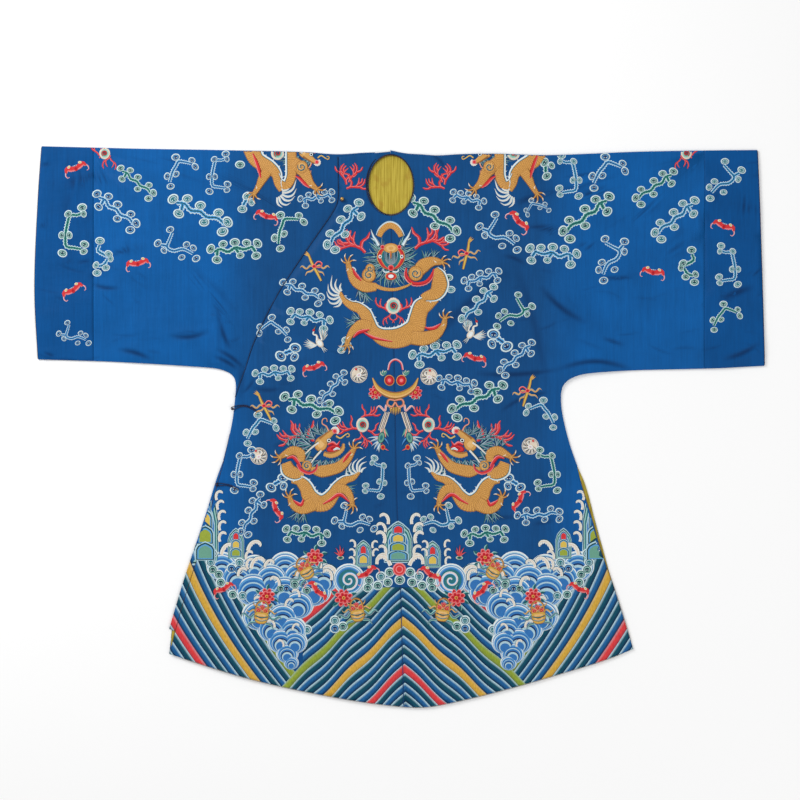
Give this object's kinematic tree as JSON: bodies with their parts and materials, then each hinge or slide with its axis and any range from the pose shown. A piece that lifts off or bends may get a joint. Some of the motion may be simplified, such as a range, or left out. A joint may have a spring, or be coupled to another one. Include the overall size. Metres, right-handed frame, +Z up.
{
  "type": "chinese dragon robe",
  "caption": "Blue silk court robe laid flat, front up: wide straight sleeves, flared skirt, slanting side overlap, oval neck opening, yellow lining, embroidered dragons, clouds and waves.",
  "frame": {"origin": "on the surface the robe lies on, under the middle of its outline's bounding box", "axes": "+X runs across the sleeves towards the wearer's left, +Y from hem to shoulder fold, +Z up from the surface; the front faces up"},
  "size_m": [1.8255, 1.4053, 0.0153],
  "materials": {
    "blue_silk": "fine ribbed blue silk satin, embroidered in silk and couched gold thread",
    "yellow_lining": "thin yellow silk with vertical slubs and faint orange stains",
    "dark_binding": "near-black blue silk bias binding and cord",
    "brown_edge": "narrow rolled brown silk edge",
    "gilt_button": "worn gilt, softly polished"
  },
  "bodies": {
    "root": {"body_right": "blue_silk", "body_left": "blue_silk", "front_overlap": "blue_silk", "sleeve_end_right": "blue_silk", "sleeve_end_left": "blue_silk", "back_lining": "yellow_lining", "neck_binding": "dark_binding", "overlap_piping": "dark_binding", "hem_edge_right": "brown_edge", "hem_edge_left": "brown_edge", "cuff_edge_right": "brown_edge", "cuff_edge_left": "brown_edge", "ball_button": "gilt_button", "button_loop": "dark_binding", "armpit_loop": "dark_binding", "armpit_knot": "dark_binding", "hip_loop": "dark_binding", "hip_knot": "dark_binding"}
  },
  "joints": []
}
